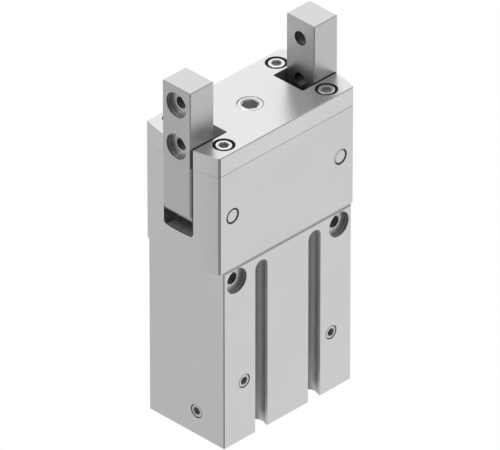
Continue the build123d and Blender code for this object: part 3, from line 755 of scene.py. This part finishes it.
def edge_group():
    """Rounded normal and an edge mask: one less the dot product of rounded and true normal."""
    edge_gain = 4.0
    group, enter, leave = new_group(
        "broken_edge",
        [("Radius", "NodeSocketFloat", 0.0001)],
        [("Edge", "NodeSocketFloat"), ("Normal", "NodeSocketVector")])
    rounded = add_node(group, "Bevel", Radius=enter.outputs["Radius"])
    rounded.samples = 6
    plain = add_node(group, "NewGeometry")
    dot = add_node(group, "VectorMath", rounded.outputs["Normal"], plain.outputs["Normal"],
                   operation="DOT_PRODUCT")
    off = math_node(group, "SUBTRACT", 1.0, dot.outputs["Value"])
    edge = math_node(group, "MULTIPLY", off, edge_gain, clamp=True)
    group.links.new(edge, leave.inputs["Edge"])
    group.links.new(rounded.outputs["Normal"], leave.inputs["Normal"])
    return group


def crest_group():
    """Painted light and shade that run from one value at a root to another at a crest."""
    group, enter, leave = new_group(
        "painted_crest_light_and_shade",
        [("Root", "NodeSocketFloat", 1.0), ("Crest", "NodeSocketFloat", 1.0)],
        [("Shade", "NodeSocketFloat")])
    place = add_node(group, "Attribute")
    place.attribute_name = "crest"
    rise = math_node(group, "SUBTRACT", enter.outputs["Crest"], enter.outputs["Root"])
    climb = math_node(group, "MULTIPLY", place.outputs["Fac"], rise)
    shade = math_node(group, "ADD", climb, enter.outputs["Root"])
    group.links.new(shade, leave.inputs["Shade"])
    return group


tool_grain = grain_group()
broken_edge = edge_group()
painted_crest_light_and_shade = crest_group()
print("shared effects", [group.name for group in bpy.data.node_groups])

# %% [markdown]
# One maker builds each metal from those groups: the grain moves the colour and the
# roughness a little and lifts the surface by a few thousandths of a millimetre, and the
# broken edge is a shade lighter, where the coating is thin and the tool has polished it.

# %% One maker for all metals
grain_z = (1.0, 1.0, 0.04)  # grain along Z
grain_x = (0.05, 1.0, 1.0)
even = (1.0, 1.0, 1.0)
usual_lift = 0.0012 * mm


def metal(name, colour, roughness, stretch=even, fineness=3000.0, edge_radius=0.05 * mm,
          metallic=1.0, contrast=0.03, lift=usual_lift, edge_light=0.12, spread=0.06,
          shade_by=None):
    """Metal or other solid finish with grain, cloud and broken edges.

    shade_by is a function that adds nodes to the tree and returns a factor for the colour.
    """
    material = bpy.data.materials.new(name)
    material.use_nodes = True
    tree = material.node_tree
    shader = tree.nodes["Principled BSDF"]
    shader.inputs["Metallic"].default_value = metallic
    grain = place_group(tree, tool_grain, Stretch=stretch, Fineness=fineness)
    edge = place_group(tree, broken_edge, Radius=edge_radius)

    mixed = math_node(tree, "ADD", grain.outputs["Grain"], grain.outputs["Cloud"])
    shade = add_node(tree, "MapRange", mixed, 0.6, 1.4, 1 - contrast, 1 + contrast)
    lighter = math_node(tree, "MULTIPLY", edge.outputs["Edge"], edge_light)
    total = math_node(tree, "ADD", shade.outputs["Result"], lighter)
    if shade_by:
        total = math_node(tree, "MULTIPLY", total, shade_by(tree))
    tint = add_node(tree, "VectorMath", colour, operation="SCALE", Scale=total)
    tree.links.new(tint.outputs[0], shader.inputs["Base Color"])

    rough = add_node(tree, "MapRange", grain.outputs["Grain"], 0.3, 0.7,
                     roughness - spread / 2, roughness + spread / 2)
    tree.links.new(rough.outputs["Result"], shader.inputs["Roughness"])

    bump = add_node(tree, "Bump", Strength=1.0, Distance=lift, Height=grain.outputs["Grain"],
                    Normal=edge.outputs["Normal"])
    tree.links.new(bump.outputs["Normal"], shader.inputs["Normal"])
    return material


def split_xyz(tree, vector):
    """X, Y and Z of a vector."""
    parts = add_node(tree, "SeparateXYZ", vector)
    return [parts.outputs[axis] for axis in "XYZ"]


def object_place(tree):
    """X, Y and Z of the place on the object."""
    return split_xyz(tree, add_node(tree, "TexCoord").outputs["Object"])


print("usual lift of the grain", round(usual_lift / mm, 4), "mm")

# %% [markdown]
# Some surfaces need one more factor on their colour, and each of these is painted light
# and shade. A thread gets painted shade in its grooves and painted highlights on its crests,
# and a bored wall the same on its valleys and ridges. A jaw gets painted light on its bevels
# and top, and a line of painted shade where it enters the cover. The ring of painted shade
# round one pin is painted lighter towards its upper left.

# %% Painted light and shade on worked surfaces
def painted_thread_light_and_shade(tree):
    """Painted shade in the grooves and painted highlights on the crests of a tapped thread."""
    return place_group(tree, painted_crest_light_and_shade, Root=0.25, Crest=1.75).outputs["Shade"]


def painted_ring_light_and_shade(tree):
    """Painted highlights on the ridges of a bored wall, with painted shade in the valleys between
    them.
    """
    return place_group(tree, painted_crest_light_and_shade, Root=0.4, Crest=1.4).outputs["Shade"]


# The bevel and top gains below are painted light on a jaw; the line's widths, reach and strength
# are painted shade where the jaw enters the cover.
finger_half = 6.2 * mm
bevel_share, bevel_room = 0.7, 0.15  # a bevel's normal has this share of Y, give or take
bevel_highlight, bevel_highlight_inside = 0.3, 0.3  # how much lighter a bevel is, and more in the slot
top_highlight = 0.08
shade_line_width, shade_line_width_inside = 0.33 * mm, 0.08 * mm  # in the cover's slot and in the housing's
shade_line_above, shade_line_below = 0.15 * mm, 0.1 * mm  # reach of the line over and under the cover's top
shade_line_strength = 0.95


def painted_jaw_light_and_shade(tree):
    """Painted light on a jaw's bevels and top, and painted shade in a thin line where the jaw
    enters the cover.

    A bevel is told by the share of Y in the true normal, the shaded line by the place on the
    jaw: a thin line where the jaw enters the cover, and from there down the inner side of a
    bevel. The factor is one plus the gains, less the shade's strength along the line.
    """
    true_normal = add_node(tree, "NewGeometry").outputs["True Normal"]
    _, normal_y, normal_z = split_xyz(tree, true_normal)
    _, place_y, place_z = object_place(tree)
    share = math_node(tree, "ABSOLUTE", normal_y)
    off_bevel = math_node(tree, "ABSOLUTE", math_node(tree, "SUBTRACT", share, bevel_share))
    bevel = math_node(tree, "LESS_THAN", off_bevel, bevel_room)
    in_slot = math_node(tree, "LESS_THAN", place_z, cover_low.z)
    gain = math_node(tree, "ADD", math_node(tree, "MULTIPLY", in_slot, bevel_highlight_inside),
                     bevel_highlight)
    top = math_node(tree, "GREATER_THAN", normal_z, 0.9)
    plain = math_node(tree, "ADD", math_node(tree, "MULTIPLY", top, top_highlight), 1.0)
    lighter = math_node(tree, "ADD", math_node(tree, "MULTIPLY", bevel, gain), plain)

    across = math_node(tree, "ABSOLUTE", place_y)
    inner_edge = math_node(tree, "ADD", finger_half - shade_line_width,
                           math_node(tree, "MULTIPLY", in_slot, shade_line_width - shade_line_width_inside))
    flank = math_node(tree, "GREATER_THAN", across, inner_edge)
    below = math_node(tree, "LESS_THAN", place_z, cover_high.z + shade_line_above)
    near = math_node(tree, "GREATER_THAN", place_z, cover_high.z - shade_line_below)
    line_or_bevel = math_node(tree, "MAXIMUM", near, bevel)
    shade_line_area = math_node(tree, "MULTIPLY", math_node(tree, "MULTIPLY", flank, below), line_or_bevel)
    return math_node(tree, "SUBTRACT", lighter, math_node(tree, "MULTIPLY", shade_line_area, shade_line_strength))


# This fade paints light on the ring of painted shade round one pin, towards its upper left.
fade_start, fade_length = 0.4 * mm, 2.2 * mm  # from the pin's middle, up and to the left
fade_gain = 5.0
around_pin = 4.0 * mm


def painted_ring_fade_light(tree):
    """Painted light on one pin's ring of painted shade: lighter along its upper left diagonal.

    The share lightened is how far a place lies up and left of the pin's middle, over the
    length of the fade, and only on the right and below the cover.
    """
    x, _, z = object_place(tree)
    rise = math_node(tree, "SUBTRACT", z, x)
    past = math_node(tree, "SUBTRACT", rise, pin_middle.z - pin_middle.x + fade_start)
    share = math_node(tree, "DIVIDE", past, fade_length, clamp=True)
    on_right = math_node(tree, "GREATER_THAN", x, pin_middle.x / 2)
    at_pin = math_node(tree, "LESS_THAN", z, pin_middle.z + around_pin)
    faded = math_node(tree, "MULTIPLY", share, math_node(tree, "MULTIPLY", on_right, at_pin))
    return math_node(tree, "ADD", math_node(tree, "MULTIPLY", faded, fade_gain), 1.0)


# the printed line is a line of painted shade on each jaw
print("oil line on a jaw", round((shade_line_above + shade_line_below) / mm, 2), "mm high")

# %% [markdown]
# Each material of the record gets its metal. The housing and the cover are anodised
# aluminium, the jaws ground steel. Most of the other metals are inside, out of sight.

# %% Metals
metals = {
    "housing_metal": metal("anodised_housing", (0.74, 0.74, 0.745), 0.34, grain_z, 5200.0,
                           0.08 * mm),
    "cover_metal": metal("anodised_cover", (0.76, 0.76, 0.765), 0.3, grain_x, 5200.0, 0.08 * mm),
    "cap_metal": metal("turned_cap", (0.66, 0.66, 0.67), 0.32, edge_radius=0.06 * mm),
    # the jaw's extra factor paints light on its bevels and top, and shade where it enters the cover
    "jaw_steel": metal("ground_jaw", (0.61, 0.61, 0.61), 0.32, grain_z, 6000.0, 0.1 * mm,
                       contrast=0.012, lift=0.0001 * mm, spread=0.03, shade_by=painted_jaw_light_and_shade),
    "screw_steel": metal("bright_screw", (0.82, 0.82, 0.82), 0.26, fineness=4000.0),
    "pin_steel": metal("ground_pin", (0.72, 0.72, 0.72), 0.2, fineness=5000.0),
    "spring_steel": metal("dark_ring", (0.16, 0.16, 0.17), 0.4),
    "rod_chrome": metal("polished_rod", (0.78, 0.78, 0.79), 0.12),
    "bronze": metal("oiled_bronze", (0.56, 0.38, 0.17), 0.35),
    "rubber": metal("seal_rubber", (0.02, 0.02, 0.02), 0.6, fineness=2500.0, metallic=0.0),
    "buffer_plastic": metal("buffer_ring_plastic", (0.3, 0.2, 0.07), 0.5, fineness=2500.0,
                            metallic=0.0),
    "guide_plastic": metal("guide_ring_plastic", (0.06, 0.09, 0.08), 0.45, fineness=2500.0,
                           metallic=0.0),
    "magnet": metal("ferrite_magnet", (0.06, 0.06, 0.06), 0.55, fineness=2500.0, metallic=0.2),
}
print("metals", len(metals))

# %% [markdown]
# Where a tool has cut through the coating, the metal is bare. These are the finishes that
# the numbers on the faces pick: tapped, bored, milled, bevelled or drawn. Several of them
# also carry painted light or shade, as the notes at each say.

# %% Freshly cut surfaces
def worked_metal(name, shade, roughness, stretch=even, shade_by=None):
    """Freshly cut surface of one grey, with hardly broken edges."""
    return metal(name, (shade, shade, shade * 1.01), roughness, stretch, 4000.0, 0.03 * mm,
                 shade_by=shade_by)


worked = {
    "housing_metal": {
        # tapped threads: a dark grey as painted shade deep in the hole, with grooves painted darker
        # and crests lighter
        cut: worked_metal("tapped_housing", 0.26, 0.3, shade_by=painted_thread_light_and_shade),
        # bored walls: painted highlights on the ridges and painted shade in the valleys of the tool
        # rings
        bored: worked_metal("bored_housing", 0.58, 0.36, shade_by=painted_ring_light_and_shade),
        milled: worked_metal("milled_housing", 0.54, 0.7),
        bevelled: worked_metal("bevelled_housing", 0.9, 0.6),
        # sensor slots: a darker grey, painted shade of the groove
        drawn: worked_metal("drawn_housing", 0.64, 0.4, grain_z),
    },
    "cover_metal": {
        # counterbores: a dark grey, painted shade of the recess
        cut: worked_metal("counterbore_painted_shade", 0.42, 0.5),
        milled: worked_metal("milled_cover", 0.4, 0.7),
        # the pale end wall of a jaw slot: painted light
        bevelled: worked_metal("end_wall_painted_light", 0.95, 0.75),
    },
    "jaw_steel": {
        # tapped threads: a dark grey as painted shade deep in the hole, with grooves painted darker
        # and crests lighter
        cut: worked_metal("tapped_jaw", 0.22, 0.3, shade_by=painted_thread_light_and_shade),
        # bored walls: painted highlights on the ridges and painted shade in the valleys of the tool
        # rings
        bored: worked_metal("bored_jaw", 0.6, 0.34, shade_by=painted_ring_light_and_shade),
        bevelled: worked_metal("bevelled_jaw", 0.85, 0.6),
    },
    "screw_steel": {
        # hex sockets: a darker grey, painted shade inside the socket
        cut: worked_metal("screw_socket", 0.62, 0.5),
        bored: worked_metal("plain_screw", 0.72, 0.34),
    },
    # near black: painted shade in the pins' grooves and along the jaw slots
    "pin_steel": {cut: worked_metal("painted_dark_shade", 0.1, 0.5, shade_by=painted_ring_fade_light)},
}
print("worked surfaces", sum(len(finishes) for finishes in worked.values()))

# %% [markdown]
# The solids keep their shape and get the metal of their node. A new piece gets its metal
# first and then the worked surfaces, so that each stands at its own number. A number that
# a metal doesn't use is filled by the metal itself.

# %% Finishes onto every piece
slot_of = {s["node"]: s["material_slot"] for s in frame["record"]["subparts"]}
for node, solid in frame["nodes"].items():
    solid.data.materials.clear()
    solid.data.materials.append(metals[slot_of[node]])
dressed = 0
for piece in bpy.context.scene.objects:
    slot = piece.get("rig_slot")
    if piece.type == "MESH" and slot in worked:
        for number in range(max(worked[slot]) + 1):
            piece.data.materials.append(worked[slot].get(number, metals[slot]))
        dressed += 1
print("pieces with finishes", dressed)

# %% [markdown]
# The studio. The part stands on a pale floor in a room of large soft lights. A metal shows
# its surroundings, so the room matters as much as the lamps: it is bright behind and above,
# paler to the right and to the left, and dim towards the camera, which makes the thin
# corner chamfers read as dark lines. The camera itself sees plain white.

# %% Room
dim_level = 0.24
patches = [  # direction, where the patch starts and is full (dot products), level
    ((-0.3, 0.5, 0.8), 0.0, 0.9, 0.3),  # all of the ceiling, a little
    ((0.596, 0.59, 0.545), 0.4, 0.97, 0.9),  # what the tops show
    ((0.596, -0.59, -0.545), 0.5, 0.95, 0.8),  # what the front shows
    ((-0.596, 0.59, -0.545), 0.4, 0.95, 0.54),  # what the left end shows
    ((0.596, 0.59, -0.4), 0.6, 0.95, 0.3),  # behind the part, low
    ((0.596, -0.59, 0.5), 0.6, 0.95, 0.19),  # what the front shows in the cover
]


def patch(tree, direction, toward, start, end, level):
    """Soft patch of light round a direction: level times a smooth step of the dot product."""
    dot = add_node(tree, "VectorMath", direction, Vector(toward).normalized(),
                   operation="DOT_PRODUCT")
    step = add_node(tree, "MapRange", dot.outputs["Value"], start, end, 0.0, level)
    step.interpolation_type = "SMOOTHSTEP"
    return step.outputs["Result"]


world = bpy.data.worlds.new("studio")
bpy.context.scene.world = world
world.use_nodes = True
tree = world.node_tree
tree.nodes.clear()
direction = add_node(tree, "TexCoord").outputs["Generated"]
total = dim_level
for toward, start, end, level in patches:
    total = math_node(tree, "ADD", patch(tree, direction, toward, start, end, level), total)
rays = add_node(tree, "LightPath").outputs
seen = add_node(tree, "Mix", Factor=rays["Is Camera Ray"], A=total, B=1.0)
background = add_node(tree, "Background", Strength=seen.outputs["Result"])
add_node(tree, "OutputWorld", Surface=background.outputs[0])
print("patches of light", len(patches))

# %% [markdown]
# One large lamp above gives the soft shade in the recesses. The floor is plain and pale. The
# camera sees it as white and mirror rays pass through it, so only its soft bounce is left.

# %% Lamp and floor
lamp_data = bpy.data.lights.new("key_above", "AREA")
lamp_data.size, lamp_data.energy = 0.4, 0.6
lamp = bpy.data.objects.new("key_above", lamp_data)
lamp_place, lamp_aim = Vector((-0.25, 0.2, 0.8)), Vector((0, 0, 0.06))
lamp.location = lamp_place
lamp.rotation_euler = (lamp_aim - lamp_place).to_track_quat("-Z", "Y").to_euler()
bpy.context.scene.collection.objects.link(lamp)

floor_half_size, floor_drop = 3.0, 0.2 * mm
floor_mesh = bpy.data.meshes.new("floor")
corners = [(-1, -1), (1, -1), (1, 1), (-1, 1)]
floor_mesh.from_pydata([(x * floor_half_size, y * floor_half_size, -floor_drop)
                        for x, y in corners], [], [(0, 1, 2, 3)])
floor = bpy.data.objects.new("floor", floor_mesh)
bpy.context.scene.collection.objects.link(floor)
pale = bpy.data.materials.new("pale_floor")
pale.use_nodes = True
tree = pale.node_tree
shader = tree.nodes["Principled BSDF"]
shader.inputs["Base Color"].default_value = (0.8, 0.8, 0.8, 1.0)
shader.inputs["Roughness"].default_value = 0.8
rays = add_node(tree, "LightPath").outputs
white = add_node(tree, "Emission", Strength=1.0)
clear = add_node(tree, "BsdfTransparent")
for_mirrors = add_node(tree, "MixShader", rays["Is Glossy Ray"], shader.outputs[0],
                       clear.outputs[0])
for_camera = add_node(tree, "MixShader", rays["Is Camera Ray"], for_mirrors.outputs[0],
                      white.outputs[0])
tree.links.new(for_camera.outputs[0], tree.nodes["Material Output"].inputs["Surface"])
floor_mesh.materials.append(pale)
print("lamp", lamp_data.energy, "W, floor", 2 * floor_half_size, "m wide")

# %% [markdown]
# The photograph was taken from far away with a long lens, from the front left and above. The
# camera's place and angles come from lining up the part's edges with the picture.

# %% Camera
camera_turn, camera_drop = radians(45.285), radians(33.009)
forward = Vector((sin(camera_turn) * cos(camera_drop), cos(camera_turn) * cos(camera_drop),
                  -sin(camera_drop)))
focal_pixels, frame_width, shift_pixels = 13067.75, 500, 0.65
camera_data = bpy.data.cameras.new("camera")
camera_data.sensor_width = 36.0
camera_data.lens = focal_pixels * camera_data.sensor_width / frame_width
camera_data.shift_x = shift_pixels / frame_width
camera_data.clip_start, camera_data.clip_end = 0.1, 20.0
camera = bpy.data.objects.new("camera", camera_data)
camera.location = (-2.4649, -2.4401, 2.3171)
camera.rotation_euler = forward.to_track_quat("-Z", "Y").to_euler()
bpy.context.scene.collection.objects.link(camera)
bpy.context.scene.camera = camera
bpy.context.scene.view_settings.view_transform = "Standard"
print("camera lens", round(camera_data.lens, 1), "mm")
